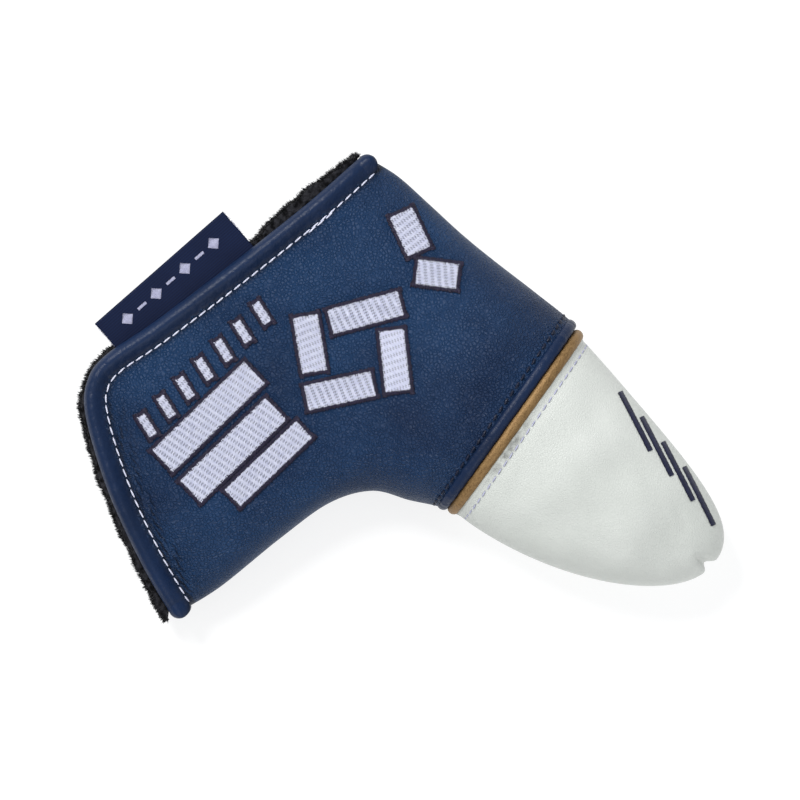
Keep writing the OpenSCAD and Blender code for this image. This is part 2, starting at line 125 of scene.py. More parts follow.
def bell(x, width):
    """Smooth bump of height 1 at 0."""
    return np.exp(-((x / width) ** 2))


def curve(knots, t):
    """Catmull-Rom curve through knots, at parameters that count the knots; it stops at its ends."""
    k = knots if knots.ndim > 1 else knots[:, None]
    t = np.clip(np.asarray(t, float), 0, len(k) - 1)
    i = np.clip(np.floor(t).astype(int), 0, len(k) - 2)
    f = (t - i)[..., None]
    a, b, c, d = (k[np.clip(i + o, 0, len(k) - 1)] for o in (-1, 0, 1, 2))
    p = b + f * (c - a) / 2 + f**2 * (a - 2.5 * b + 2 * c - d / 2) + f**3 * (1.5 * (b - c) + (d - a) / 2)
    return p if knots.ndim > 1 else p[..., 0]


def swell(v):
    return np.maximum(0, 1 - np.abs(2 * v - 1) ** FULLNESS) ** (1 / FULLNESS)


def taper(m, power):
    return np.maximum(0, 1 - np.clip(m - TOE, 0, 1) ** power[0]) ** power[1]


def section(m, d):
    """The two ends of the cross-section at station m, at depth d below the skin."""
    m = np.asarray(m, float)
    low, high = curve(SOLE_EDGE, m), curve(TOP_EDGE, m)
    inward = unit(high - low) * np.asarray(d, float)[..., None]
    s = np.clip(m - TOE, 0, 1)
    a, b = SOLE_EDGE[TOE], TOP_EDGE[TOE]
    middle = (a + b) / 2 + np.stack([-(TOE_LENGTH - d) * s, TOE_BOW * s * (1 - s)], -1)
    half = np.stack([(b[0] - a[0]) / 2 * (1 - s), ((b[1] - a[1]) / 2 - d) * taper(m, TOE_WIDTH_POWER)], -1)
    in_toe = (m > TOE)[..., None]
    return np.where(in_toe, middle - half, low + inward), np.where(in_toe, middle + half, high - inward)


def side_height(edge, rise, puff, d, side, lift=0):
    """Height of the front or the rear at depth d, from their edge's height to the full rise."""
    rear = np.maximum(edge - (edge + FLAT_SINK - d) * puff, d + lift)
    return np.where(side > 0, edge + (rise - d) * puff, rear)


def skin_height(m, v, d, side):
    tip = mix(EDGE_HEIGHTS[TOE], TIP_EDGE, np.clip(m - TOE, 0, 1) ** 2)
    edge = np.where(m <= TOE, curve(EDGE_HEIGHTS, m), tip)
    return side_height(edge, curve(FRONT_RISES, m), swell(v) * taper(m, TOE_RISE_POWER), d, side)


def across(angle):
    x = np.cos(angle)
    return (1 - np.sign(x) * np.abs(x) ** (2 / FULLNESS)) / 2


def skin(m, angle, d):
    """A point of the skin; positive angles are on the front, 0 is the sole edge and pi the top edge."""
    m, angle = np.broadcast_arrays(m, angle)
    v = across(angle)
    low, high = section(m, np.full(m.shape, float(d)))
    p = mix(low, high, v[..., None])
    return np.concatenate([p, skin_height(m, v, d, np.where(angle >= 0, 1, -1))[..., None]], -1)


# ---- Flap and mouth ----
HALVINGS = 22


def halve(before, shape, end):
    """The numbers between 0 and end at which a condition stops being true, for an array of cases."""
    low, high = np.zeros(shape), np.full(shape, float(end))
    for _ in range(HALVINGS):
        middle = (low + high) / 2
        still = before(middle)
        low, high = np.where(still, middle, low), np.where(still, high, middle)
    return low


def from_fold(p):
    """How far a point of the plan is past the fold, and its place along the fold."""
    return (p - FOLD_A) @ FOLD_N, (p - FOLD_A) @ FOLD_T


def flap_share(p, d):
    k, w = from_fold(p)
    return (w - d) / (FOLD_LEN + NECK_FLARE * k - 2 * d)


def flap_height(k, v, d, side):
    t = np.clip(k / FLAP_DEPTH, 0, 1)
    lift = RIM_LIFT * np.clip(k / LIFT_RUN, 0, 1)
    return side_height(mix(FOLD_EDGE, RIM_EDGE, t), mix(FOLD_RISE, RIM_RISE, t), swell(v), d, side, lift)


def rim_out(t):
    e = unit(curve(RIM, t + 0.02) - curve(RIM, t - 0.02))
    return np.stack([e[..., 1], -e[..., 0]], -1)


def rim_point(t, out):
    return curve(RIM, t) + np.asarray(out, float)[..., None] * rim_out(t)


def flap(q, angle, d, out):
    """A point of the flap at depth d; q is 0 at the fold and 1 at the rim, moved out by a distance."""
    q, angle = np.broadcast_arrays(q, angle)
    v = across(angle)
    at_rim = halve(lambda t: flap_share(rim_point(t, out), d) < v, v.shape, RIM_END)
    k = q * np.maximum(from_fold(rim_point(at_rim, out))[0], 0.5)
    width = FOLD_LEN + NECK_FLARE * k - 2 * d
    p = FOLD_A + FOLD_N * k[..., None] + FOLD_T * (d + v * width)[..., None]
    return np.concatenate([p, flap_height(k, v, d, np.where(angle >= 0, 1, -1))[..., None]], -1)


def place(p, d):
    """Station and share across of points of the plan that aren't on the flap."""

    def before(m):
        a, b = section(m, 0 * m)
        e, r = b - a, p - a
        return e[..., 0] * r[..., 1] - e[..., 1] * r[..., 0] > 0

    m = halve(before, p.shape[:-1], TOE + 1)
    a, b = section(m, np.full(m.shape, float(d)))
    return m, np.clip(np.linalg.norm(p - a, axis=-1) / np.linalg.norm(b - a, axis=-1), 0, 1)


def height(p, d, side):
    """Height of the smooth skin over points of the plan, and their share across."""
    k = from_fold(p)[0]
    flap_v = np.clip(flap_share(p, d), 0, 1)
    m, v = place(p, d)
    z = np.where(k >= 0, flap_height(k, flap_v, d, side), skin_height(m, v, d, side))
    return z, np.where(k >= 0, flap_v, v)


# ---- Embroidery layout ----
BORDER_W, LOZENGE_W = 1.3, 7.5


def side_bar(a, b):
    """A side of a lozenge covers its first corner and stops short of the next side's border."""
    e = unit(b - a)
    return a - e * LOZENGE_W / 2, b - e * (LOZENGE_W / 2 + 2 * BORDER_W + 0.8), LOZENGE_W


LOZENGE = np.array([[43.5, -21.5], [29.5, -6.8], [13, -24], [27, -40.5]])
EDGE_LOZENGE = np.array([[36.5, -64], [22.5, -55.5], [8.5, -62.5]])
BARS = [
    (np.array([57.2, 35.6]), np.array([49.2, -1.8]), 9),
    (np.array([45.2, 38.4]), np.array([37.8, 3.6]), 9),
    (np.array([33.7, 33]), np.array([27.4, 4]), 7),
]
BARS += [side_bar(LOZENGE[i], LOZENGE[(i + 1) % 4]) for i in range(4)]
BARS += [side_bar(EDGE_LOZENGE[i], EDGE_LOZENGE[i + 1]) for i in range(2)]
for step in range(7):
    dash = mix(np.array([67, 29.3]), np.array([57.4, -17.7]), step / 6)
    BARS.append((dash - [3.2, -1.4], dash + [3.2, -1.4], 2.6))
STRIPES = []
for step in range(4):
    foot = np.array([-44.5, -58]) + step * np.array([-9.5, 2.6])
    STRIPES.append((foot, foot + [-17, 9.5], 1.7))


def bar_distance(p, bar):
    """Distance of points of the plan from a bar's outline, negative inside it."""
    a, b, w = bar
    e = unit(b - a)
    r = p - (a + b) / 2
    over = np.abs(np.stack([r @ e, r @ square(e)], -1)) - [np.linalg.norm(b - a) / 2, w / 2]
    return np.linalg.norm(np.maximum(over, 0), axis=-1) + np.minimum(over.max(-1), 0)


# ---- Relief of the leather ----
def ripple(p, wavelength, seed, waves=7):
    """Smooth irregular waves over the plan, from about -1 to 1."""
    r = np.random.default_rng(seed)
    total = 0
    for _ in range(waves):
        turn, phase, k = r.uniform(0, 2 * math.pi), r.uniform(0, 2 * math.pi), r.uniform(0.7, 1.4)
        along = p[..., 0] * math.cos(turn) + p[..., 1] * math.sin(turn)
        total = total + np.sin(2 * math.pi * k / wavelength * along + phase)
    return total / waves**0.5


rim_t = np.linspace(0, RIM_END, 500)
rim_line = curve(RIM, rim_t)
rim_length = run_along(rim_line)


def rim_distance(p):
    """Distance of points of the plan from the rim, and the length along the rim that is nearest."""
    flat = p.reshape(-1, 2)
    near = np.concatenate([
        np.linalg.norm(part[:, None] - rim_line[None], axis=-1).argmin(1) for part in np.array_split(flat, 40)
    ])
    gap = np.linalg.norm(flat - rim_line[near], axis=-1)
    return gap.reshape(p.shape[:-1]), rim_length[near].reshape(p.shape[:-1])


CROTCH = np.array([3.5, 9.0])
# Soft creases that leave the inner corner: heading in degrees, length, half width, depth
CREASES = [(-148, 26, 3.0, 0.55), (-118, 38, 3.6, 0.5), (-84, 34, 2.6, 0.4), (-48, 30, 3.2, 0.35)]
SEAM_IN = BINDING_W + 0.4
# How far the leather sinks at the rim's seam and round the embroidery, and how it rises inside the seam
VALLEY_DEPTH, SEWN_SINK, CUSHION_RISE, CUSHION_RUN = 0.75, 0.38, 1.5, 15
CREASE_GAP = 1.4


def corner_creases(p):
    """Soft creases out of the inner corner, each between two low swells."""
    drop = 0
    for degrees, length, half, depth in CREASES:
        e, r = heading(degrees), p - CROTCH
        along, off = r @ e, r @ square(e) + 0.8 * np.sin((r @ e) / 6)
        shape = bell(off, half) - 0.5 * bell(np.abs(off) - 2 * half, half)
        drop = drop + depth * shape * fade(along, -4, 3) * (1 - fade(along, length * 0.4, length))
    return drop


def seam_puckers(inside, run):
    """Short puckers beside the rim's seam, deeper near the top edge, where a long crease joins them."""
    phase = run * 0.95 + 0.7 * np.sin(run * 0.31) - 0.3 * inside
    groove = 0.4 - bell(np.sin(phase), 0.4) * (1.2 + 0.6 * np.sin(run * 0.37 + 1))
    depth = mix(0.15, 0.5, fade(run, 100, 125))
    puckers = depth * groove * fade(inside, 0.3, 1.6) * np.exp(-np.maximum(inside, 0) / 4)
    long_crease = bell(inside - 3 - 0.9 * np.sin(run * 0.35), 0.8)
    return puckers - 0.45 * long_crease * fade(run, 125, 145) * (1 - fade(run, 168, 178))


def relief(p, side):
    """How far the leather rises from the smooth skin, over points of the plan."""
    rise = 0.3 * ripple(p, 46, 3 + side) + 0.07 * ripple(p, 15, 9 + side) - corner_creases(p)
    gap, run = rim_distance(p)
    inside = gap - SEAM_IN
    rise = rise - VALLEY_DEPTH * bell(inside, 1.7) + seam_puckers(inside, run)
    if side > 0:
        near = np.min([bar_distance(p, bar) for bar in BARS], axis=0) - BORDER_W
        rise = rise + CUSHION_RISE * fade(inside, 0, CUSHION_RUN) - SEWN_SINK * bell(np.maximum(near, 0), 1.5)
    return rise


def painted_seam_shade(p):
    """Painted shade on the leather beside the rim's seam: in its valley, and along fine creases at a low
    angle to it.
    """
    gap, run = rim_distance(p)
    inside = gap - SEAM_IN
    u = inside - 0.14 * run + 0.5 * np.sin(run * 0.3) + 0.15 * np.sin(run * 1.7)
    lines = bell(u % CREASE_GAP - CREASE_GAP / 2, 0.27)
    lines = lines * (0.55 + 0.45 * np.sin(run * 0.6 + 2.1 * np.floor(u / CREASE_GAP)))
    near = fade(inside, -0.4, 0.4) * (1 - fade(inside, 2.5, 7.5)) * fade(run, 104, 124)
    return np.clip(0.8 * bell(inside, 1.2) + 1.3 * lines * near, 0, 1)


def surface(p, side):
    """Height of the creased leather over points of the plan."""
    z, v = height(p, 0, side)
    return np.maximum(z + relief(p, side) * fade(swell(v), 0, 0.75), 0)


def hem_dip(m):
    """The leather is drawn down at the hem's stitches and ends under the roll."""
    return -0.45 * bell(m - HEM_STITCHES, 0.2) - 0.7 * fade(m, HEM_STITCHES, HEM_ROLL)


# ---- Meshes ----
def add_object(name, data):
    obj = bpy.data.objects.new(name, data)
    bpy.context.scene.collection.objects.link(obj)
    return obj


def build(name, verts, faces, normals=None):
    """An object from vertices in mm and arrays of faces, with smooth shading."""
    mesh = bpy.data.meshes.new(name)
    mesh.vertices.add(len(verts))
    mesh.vertices.foreach_set("co", (verts * MM).astype(np.float32).ravel())
    corners = np.concatenate([f.ravel() for f in faces]).astype(np.int32)
    sizes = np.concatenate([np.full(len(f), f.shape[1]) for f in faces])
    mesh.loops.add(len(corners))
    mesh.loops.foreach_set("vertex_index", corners)
    mesh.polygons.add(len(sizes))
    mesh.polygons.foreach_set("loop_start", np.concatenate([[0], np.cumsum(sizes)[:-1]]).astype(np.int32))
    mesh.polygons.foreach_set("use_smooth", np.ones(len(sizes), bool))
    mesh.update(calc_edges=True)
    if normals is not None:
        mesh.normals_split_custom_set(normals[corners])
    return add_object(name, mesh)


def grid_faces(rows, cols, closed=False):
    """Quads of a grid of vertices, whose last column may join its first."""
    last = cols if closed else cols - 1
    i, j = np.meshgrid(np.arange(rows - 1), np.arange(last), indexing="ij")
    k = (j + 1) % cols
    return np.stack([i * cols + j, i * cols + k, (i + 1) * cols + k, (i + 1) * cols + j], -1).reshape(-1, 4)


def grid_normals(grid):
    return unit(np.cross(np.gradient(grid, axis=0), np.gradient(grid, axis=1)))


def two_sides(outer, inner):
    """Vertices of an outer grid, then of an inner one."""
    return np.concatenate([outer.reshape(-1, 3), inner.reshape(-1, 3)])


def slab(name, outer, inner, outer_normals=None):
    """A closed piece between two grids, with given shading normals where it meets another piece smoothly."""
    rows, cols = outer.shape[:2]
    n = rows * cols
    top = grid_faces(rows, cols)
    loop = np.concatenate([
        np.arange(cols), np.arange(1, rows) * cols + cols - 1,
        (rows - 1) * cols + np.arange(cols - 2, -1, -1), np.arange(rows - 2, 0, -1) * cols,
    ])
    after = np.roll(loop, -1)
    walls = np.stack([after, loop, loop + n, after + n], -1)
    verts = two_sides(outer, inner)
    faces = np.concatenate([top, top[:, ::-1] + n, walls])
    a, b, c = (verts[faces[:, i]] for i in range(3))
    if (a * np.cross(b, c)).sum() < 0:
        faces = faces[:, ::-1]
    normals = None
    if outer_normals is not None:
        facing = outer_normals.reshape(-1, 3)
        a, b, c = (verts[faces[:len(top), i]] for i in range(3))
        if (facing[faces[:len(top), 0]] * unit(np.cross(b - a, c - a))).sum() < 0:
            facing = -facing
        normals = np.concatenate([facing, -facing])
    return build(name, verts, [faces], normals)


def rings(centres, side, up, wide, high, turn):
    """A ring of points round each centre, at angles from one direction towards another."""
    return (
        centres[..., None, :]
        + side[..., None, :] * (wide[..., None] * np.cos(turn))[..., None]
        + up[..., None, :] * (high[..., None] * np.sin(turn))[..., None]
    ).reshape(-1, 3)


def bar_faces(stations, corners):
    """Faces of a closed bar: its first end, its last end and its sides."""
    ring = np.arange(corners)[None]
    return ring[:, ::-1], ring + (stations - 1) * corners, grid_faces(stations, corners, closed=True)


def tubes(centres, side, up, wide, high, corners=6):
    """Vertices and faces of many bars at once. Centres have the shape (bars, stations, 3)."""
    bars, stations = centres.shape[:2]
    turn = 2 * math.pi * (np.arange(corners) + 0.5) / corners
    first, last, quads = bar_faces(stations, corners)
    offset = (np.arange(bars) * stations * corners)[:, None, None]
    faces = [(f[None] + offset).reshape(-1, f.shape[1]) for f in (quads[:, ::-1], last, first)]
    return rings(centres, side, up, wide, high, turn), faces


def stitches(name, ends_a, ends_b, lift_at, wide, high, corners=6):
    """Short threads between two sets of points of the plan; lift_at gives the height under them."""
    s = np.array([0, 0.08, 0.18, 0.5, 0.82, 0.92, 1])
    round_off = np.sin(math.pi * mix(0.12, 0.88, s)) ** 0.6
    line = ends_a[:, None] + (ends_b - ends_a)[:, None] * s[None, :, None]
    z = lift_at(line) + high * (round_off - 0.35)
    centres = np.concatenate([line, z[..., None]], -1)
    across_it = np.append(square(unit(ends_b - ends_a)), np.zeros((len(ends_a), 1)), 1)
    side = np.broadcast_to(across_it[:, None], centres.shape)
    up = np.broadcast_to(np.array([0.0, 0, 1]), centres.shape)
    size = np.broadcast_to(round_off, centres.shape[:2])
    obj = build(name, *tubes(centres, side, up, wide * size, high * size, corners))
    # Painted shade where each stitch enters its needle hole, at both its ends
    hole_shade = np.broadcast_to(1.0 * (np.minimum(s, 1 - s) < 0.1), centres.shape[:2])
    mark_painted_shade(obj, np.repeat(hole_shade.ravel(), corners))
    return obj


def mark_painted_shade(obj, shade):
    """Gives a piece's first vertices an amount of painted shade from 0 to 1, which its material darkens."""
    values = np.zeros(len(obj.data.vertices), np.float32)
    values[:shade.size] = shade.ravel()
    obj.data.attributes.new("shade", "FLOAT", "POINT").data.foreach_set("value", values)


def tuft_mesh(points, directions, length, radius):
    """Vertices and faces of three-sided tapering tufts."""
    n = len(points)
    any_way = [0.31, 0.52, 0.8]
    side = unit(np.cross(directions, any_way))
    other = np.cross(directions, side)
    turn = (2 * math.pi * np.arange(3) / 3)[:, None]
    base = points[:, None] + radius * (side[:, None] * np.cos(turn) + other[:, None] * np.sin(turn))
    tip = points + directions * length[:, None]
    verts = np.concatenate([base, tip[:, None]], 1).reshape(-1, 3)
    cone = np.array([[0, 1, 3], [1, 2, 3], [2, 0, 3], [0, 2, 1]])
    return verts, [(cone[None] + 4 * np.arange(n)[:, None, None]).reshape(-1, 3)]


# ---- Materials ----
def linear(rgb):
    """Linear colour of an sRGB colour from 0 to 255."""
    return [c / 255 / 12.92 if c <= 10 else ((c / 255 + 0.055) / 1.055) ** 2.4 for c in rgb] + [1]


class Paint:
    """A material whose nodes are added one by one, and stand for one of their outputs."""

    def __init__(self, name, **shader):
        self.material = bpy.data.materials.new(name)
        self.material.use_nodes = True
        self.tree = self.material.node_tree
        self.shader = self.tree.nodes["Principled BSDF"]
        self.place = self.add("TexCoord", output="Object")
        for key, value in shader.items():
            self.shader.inputs[key.replace("_", " ")].default_value = value

    def add(self, kind, inputs=None, output=0, **settings):
        made = self.tree.nodes.new("ShaderNode" + kind)
        for key, value in settings.items():
            setattr(made, key, value)
        for key, value in (inputs or {}).items():
            if isinstance(value, bpy.types.NodeSocket):
                self.tree.links.new(value, made.inputs[key])
            else:
                made.inputs[key].default_value = value
        return made.outputs[output]

    def texture(self, kind, scale, place, output, inputs, **settings):
        inputs = {"Vector": place or self.place, "Scale": scale, **inputs}
        return self.add("Tex" + kind, inputs, output, **settings)

    def noise(self, scale, detail=3, place=None, output="Fac"):
        return self.texture("Noise", scale, place, output, {"Detail": detail})

    def wave(self, scale, distortion, detail=2, place=None, axis="X"):
        inputs = {"Distortion": distortion, "Detail": detail}
        return self.texture("Wave", scale, place, "Fac", inputs, bands_direction=axis)

    def cells(self, scale, place=None):
        """Distance to the nearest edge between cells."""
        return self.texture("Voronoi", scale, place, "Distance", {}, feature="DISTANCE_TO_EDGE")

    def mapped(self, place, **settings):
        return self.add("Mapping", {"Vector": place, **settings})

    def plus(self, a, b):
        return self.add("Math", {0: a, 1: b}, operation="ADD")

    def times(self, a, b):
        return self.add("Math", {0: a, 1: b}, operation="MULTIPLY")

    def between(self, value, low, high, to_low=0.0, to_high=1.0):
        return self.add("MapRange", dict(enumerate([value, low, high, to_low, to_high])))

    def colours(self, factor, a, b):
        return self.add("Mix", {0: factor, 6: a, 7: b}, 2, data_type="RGBA")

    def use(self, key, socket):
        self.tree.links.new(socket, self.shader.inputs[key])

    def use_colours(self, factor, dark, light):
        self.use("Base Color", self.colours(factor, linear(dark), linear(light)))

    def use_rough(self, value, low, high, to_low, to_high):
        self.use("Roughness", self.between(value, low, high, to_low, to_high))

    def use_painted_shade(self, factor, dark, light, depth):
        """Colours that turn to a third of the dark one where the mesh is marked with painted shade."""
        colour = self.colours(factor, linear(dark), linear(light))
        deep = [c * 0.35 for c in linear(dark)[:3]] + [1]
        # The shade attribute holds painted shade
        shade = self.add("Attribute", output="Fac", attribute_name="shade")
        self.use("Base Color", self.colours(self.times(shade, depth), colour, deep))

    def bump(self, height, distance):
        self.use("Normal", self.add("Bump", {"Height": height, "Distance": distance, "Strength": 1.0}))


def leather(name, dark, light, grain, distance, rough):
    """Pebbled leather: cells a given size apart, finer wrinkles over them and a slight shift of colour."""
    m = Paint(name, Specular_IOR_Level=0.22)
    warp = m.noise(160, 2, output="Color")
    shift = m.add("VectorMath", {0: warp, "Scale": 0.0022}, operation="SCALE")
    cells = m.cells(1 / grain, m.add("VectorMath", {0: m.place, 1: shift}))
    pebble = m.between(cells, 0, 0.22)
    fine = m.noise(2.6 / grain, 4)
    shade = m.times(m.noise(28), m.between(cells, 0, 0.12, 0.9, 1.0))
    # Painted shade where the mesh is marked: the seam's valley and creases, and the binding's valley
    m.use_painted_shade(m.between(shade, 0.3, 0.62), dark, light, 1.0)
    m.use_rough(fine, 0.3, 0.7, rough - 0.06, rough + 0.1)
    m.bump(m.plus(pebble, m.times(fine, 0.9)), distance)
    return m.material


def thread(name, dark, light, hole_shade_depth=0.5, rough=0.42):
    """Shiny twisted thread with a little colour variation, and painted shade where it enters a needle hole.
    """
    m = Paint(name, Specular_IOR_Level=0.3)
    twist = m.wave(900, 3, 1)
    strand = m.times(m.noise(900, 2), m.between(twist, 0, 1, 0.8, 1.5))
    m.use_painted_shade(strand, dark, light, hole_shade_depth)
    m.use_rough(twist, 0, 1, rough - 0.08, rough + 0.12)
    m.bump(twist, 0.00005)
    return m.material


def plush_material():
    m = Paint("black_plush", Specular_IOR_Level=0.1, Sheen_Weight=0.12, Sheen_Roughness=0.4)
    m.use_colours(m.between(m.noise(620, 4), 0.38, 0.62), (6, 6, 8), (44, 44, 48))
    m.use_rough(m.noise(900, 2), 0.3, 0.7, 0.85, 1.0)
    m.bump(m.noise(1500), 0.0006)
    return m.material


def gold_material():
    """Metallic synthetic leather, brushed along the seam."""
    m = Paint("gold_leather", Metallic=0.55, Specular_IOR_Level=0.5)
    streak = m.noise(1.0, 2, m.mapped(m.place, Scale=(1600, 260, 1600)))
    brush = m.plus(m.times(streak, 0.4), m.times(m.noise(2600), 0.6))
    m.use_colours(m.between(brush, 0.35, 0.65), (107, 80, 45), (155, 124, 81))
    m.use_rough(brush, 0.3, 0.7, 0.45, 0.65)
    m.bump(m.plus(brush, m.noise(1800)), 0.00012)
    return m.material


def toe_material():
    """White leather with faint pores, and a speckled grey patch of painted shade beside the piping."""
    m = Paint("white_leather", Specular_IOR_Level=0.4)
    # Painted shade: a speckled grey patch beside the piping
    from_shade_patch = m.mapped(m.place, Location=(0.0263, 0.0255, -0.036))
    spread = m.mapped(from_shade_patch, Scale=(470, 82, 60))
    far = m.add("VectorMath", {0: spread}, "Value", operation="LENGTH")
    shade_patch = m.times(m.between(far, 0.1, 1.15, 0.85, 0.0), m.between(m.noise(420, 4), 0.38, 0.66))
    soft = m.colours(m.between(m.noise(22), 0.3, 0.7), linear((193, 197, 191)), linear((206, 209, 204)))
    m.use("Base Color", m.colours(shade_patch, soft, linear((96, 96, 94))))
    m.use_rough(m.noise(700), 0.3, 0.7, 0.36, 0.52)
    m.bump(m.plus(m.between(m.cells(1250), 0, 0.2), m.noise(2600)), 0.00006)
    return m.material


def ribbon_material():
    """Satin ribbon, woven fine across its length."""
    m = Paint("woven_navy", Specular_IOR_Level=0.12)
    turned = m.mapped(m.place, Rotation=(0, 0, -LABEL_TURN))
    weft, warp = m.wave(420, 0.6, place=turned, axis="Y"), m.wave(520, 0.4, place=turned)
    weave = m.plus(m.times(weft, 0.7), m.times(warp, 0.3))
    uneven = m.between(m.noise(140), 0.2, 0.8, 0.6, 1.2)
    m.use_colours(m.times(weave, uneven), (5, 14, 40), (14, 28, 60))
    m.use_rough(weave, 0, 1, 0.5, 0.75)
    m.bump(weave, 0.00004)
    return m.material


def tape_material():
    m = Paint("closure_tape", Specular_IOR_Level=0.3)
    m.use_colours(m.noise(2400), (10, 10, 12), (44, 44, 48))
    m.use_rough(m.noise(1200, 2), 0.3, 0.7, 0.6, 0.9)
    m.bump(m.noise(3000, 2), 0.0004)
    return m.material


PAINTS = {
    "navy_leather": leather("navy_leather", (10, 32, 62), (20, 50, 85), 0.00105, 0.00024, 0.44),
    "navy_binding": leather("navy_binding", (8, 26, 53), (15, 36, 68), 0.0016, 0.00004, 0.42),
    "white_leather": toe_material(),
    "gold_leather": gold_material(),
    "black_plush": plush_material(),
    "white_thread": thread("white_thread", (182, 186, 212), (224, 226, 240), 0.8),
    "plum_thread": thread("plum_thread", (12, 9, 24), (42, 36, 62), 0.4),
    "navy_thread": thread("navy_thread", (5, 10, 26), (18, 28, 54)),
    "lilac_thread": thread("lilac_thread", (158, 159, 190), (190, 191, 214)),
    "navy_print": thread("navy_print", (18, 20, 38), (42, 46, 76)),
    "closure_tape": tape_material(),
    "woven_navy": ribbon_material(),
}


def dress(obj, paint, stands_for):
    obj.data.materials.append(PAINTS[paint])
    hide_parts(*stands_for)


def place_piece(obj, paint, stands_for, bends=False, body="cover"):
    """Gives a piece its material and hides the model's nodes that it stands for; a piece that doesn't bend is
    attached to its body, a bending piece only has its place baked into its mesh.
    """
    dress(obj, paint, stands_for)
    if bends:
        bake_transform(obj)
    else:
        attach(obj, body)


# ---- Leather ----
FLAP_ROWS, COLS = 60, 300
FOAM_IN = BINDING_W * 0.8
turn_front = np.linspace(math.pi, 0, COLS)
body_m = np.linspace(0, HEM_ROLL + 0.12, 110)


def side_grid(side, depth, out):
    """Grid of one side of the pouch and its flap at a depth, from the rim to the hem."""
    turn = turn_front if side > 0 else -turn_front[::-1] - 1e-9
    q = np.linspace(1, 0, FLAP_ROWS + 1)[:-1]
    rows = flap(q[:, None], turn[None], depth, out)
    return np.concatenate([rows, skin(body_m[:, None], turn[None], depth)])


def leather_grid(side):
    """The outer side of the leather, with its relief; in the corners of the mouth it ends at the seam."""
    v = across(turn_front if side > 0 else turn_front[::-1])
    grid = side_grid(side, 0, -mix(BINDING_W, BINDING_W / 2, fade(swell(v), 0.1, 0.6)))
    change = relief(grid[..., :2], side) * fade(swell(v), 0, 0.75)[None]
    change[FLAP_ROWS:] *= 1 - fade(body_m, HEM_STITCHES - 1, HEM_STITCHES - 0.2)[:, None]
    change[FLAP_ROWS:] += hem_dip(body_m)[:, None] * fade(swell(v), 0, 0.3)[None] * side
    if side < 0:
        change = -0.6 * change
    grid[..., 2] = np.maximum(grid[..., 2] + change, 0.02)
    return grid


front_grid, rear_grid = leather_grid(1), leather_grid(-1)
wrap_normals = grid_normals(np.concatenate([front_grid, rear_grid[:, 1:]], 1))


def leather_side(name, side, grid, normals, nodes):
    """One side's leather, with the foam under it."""
    obj = slab(name, grid, side_grid(side, FOAM_BASE, -FOAM_IN), normals)
    place_piece(obj, "navy_leather", nodes, bends=side > 0)
    # Painted shade in the seam's valley and its fine creases
    mark_painted_shade(obj, painted_seam_shade(grid[..., :2]))


front_nodes = ["body_panel", "flap_panel", "front_foam", "flap_foam"]
leather_side("front_leather", 1, front_grid, wrap_normals[:, :COLS], front_nodes)
leather_side("rear_leather", -1, rear_grid, wrap_normals[:, COLS - 1:], ["body_panel", "rear_foam"])


# ---- Toe ----
NOTCH = np.array([-94.9, -30.0])
# Heading in degrees, start, length, half width and depth of the toe's soft creases
TOE_CREASES = [
    (88, NOTCH + [0.6, -0.5], 12, 0.9, 0.7),
    (-8, np.array([-70.0, -50.0]), 26, 2.4, 0.35),
    (12, np.array([-74.0, -20.0]), 24, 2.6, 0.3),
    (-62, np.array([-38.0, -12.0]), 22, 2.2, 0.25),
    (-30, np.array([-86.0, -34.0]), 16, 1.6, 0.3),
]


def toe_grid(depth):
    """Closed rings of the toe from its seam to the tip, with the notch where its edge seam ends."""
    share = np.linspace(0, 1, 90)
    m = np.concatenate([[TOE_SEAM, TOE - 0.1], TOE + 1 - (1 - share) ** 1.7])
    turn = np.linspace(-math.pi, math.pi, 181)[:-1]
    grid = skin(m[:, None], turn[None], depth)
    p = grid[..., :2]
    front = np.where(turn > 0, 1, -0.4)[None]
    rise = (0.4 * ripple(p, 30, 21) + 0.12 * ripple(p, 12, 22)) * fade(m, TOE + 0.04, TOE + 0.25)[:, None]
    rise = rise - 0.4 * bell(m[:, None] - TOE_STITCHES, 0.018)
    for degrees, start, length, half, deep in TOE_CREASES:
        e, r = heading(degrees), p - start
        along, off = r @ e, r @ square(e)
        rise = rise - deep * bell(off, half) * fade(along, 0, 4) * (1 - fade(along, length * 0.5, length))
    rise = rise * front * fade(np.abs(np.sin(turn)), 0, 0.7)[None]
    grid[..., 2] += rise * fade(1 - m, -TOE - 1, -TOE)[:, None] ** 0.3
    grid[..., 0] += 2.6 * bell(p[..., 1] - NOTCH[1], 1.5) * fade(-p[..., 0], 89, 96)
    return grid


def ring_slab(name, outer, inner):
    """A closed sleeve between two grids of closed rings, whose last rings shrink to a point."""
    rows, cols = outer.shape[:2]
    n = rows * cols
    faces = grid_faces(rows, cols, closed=True)
    j = np.arange(cols)
    k = (j + 1) % cols
    wall = np.stack([k, j, j + n, k + n], -1)
    obj = build(name, two_sides(outer, inner), [faces, faces[:, ::-1] + n, wall])
    mesh = bmesh.new()
    mesh.from_mesh(obj.data)
    bmesh.ops.remove_doubles(mesh, verts=mesh.verts, dist=2e-6)
    bmesh.ops.recalc_face_normals(mesh, faces=mesh.faces)
    mesh.to_mesh(obj.data)
    mesh.free()
    return obj


toe = ring_slab("toe_leather", toe_grid(0), toe_grid(FOAM_BASE))
place_piece(toe, "white_leather", ["toe_panel"])


# ---- Rings round the pouch ----
def out_of_pouch(m, path, along, middle):
    """Directions out of the pouch, at points of a path round it at a station."""
    a, b = section(np.array([m - 0.05, m + 0.05]), np.zeros(2))
    axis = unit(np.append((a + b)[1] - (a + b)[0], 0))
    out = unit(np.cross(along, axis))
    return out * np.sign((out * (path - middle)).sum(1, keepdims=True))


